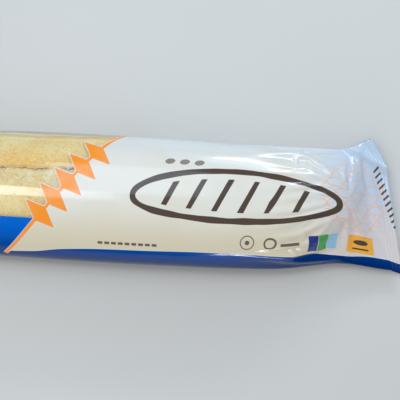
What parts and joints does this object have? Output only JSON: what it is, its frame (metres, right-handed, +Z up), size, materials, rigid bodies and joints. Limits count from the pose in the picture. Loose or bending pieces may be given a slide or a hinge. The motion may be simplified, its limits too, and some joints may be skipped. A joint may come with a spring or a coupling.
{
  "type": "bagged baguette",
  "caption": "Pale part-baked baguette sealed in a printed film pillow pack with a clear window and crimped ends, lying flat",
  "frame": {"origin": "on the floor under the middle of the pack's box, at the flat underside", "axes": "+X along the loaf, towards the end whose seal is pulled askew; +Y across the loaf, away from the blue band on the front; +Z up, out of the face with the window"},
  "size_m": [0.556, 0.142, 0.06],
  "materials": {
    "printed_film": "glossy printed film, white panel with a blue band and orange figures",
    "clear_film": "clear glossy film window",
    "bread_crust": "matte pale golden crust, lightly floured, with a torn paler split"
  },
  "bodies": {
    "root": {"sealed_pack": "printed_film"}
  },
  "joints": []
}
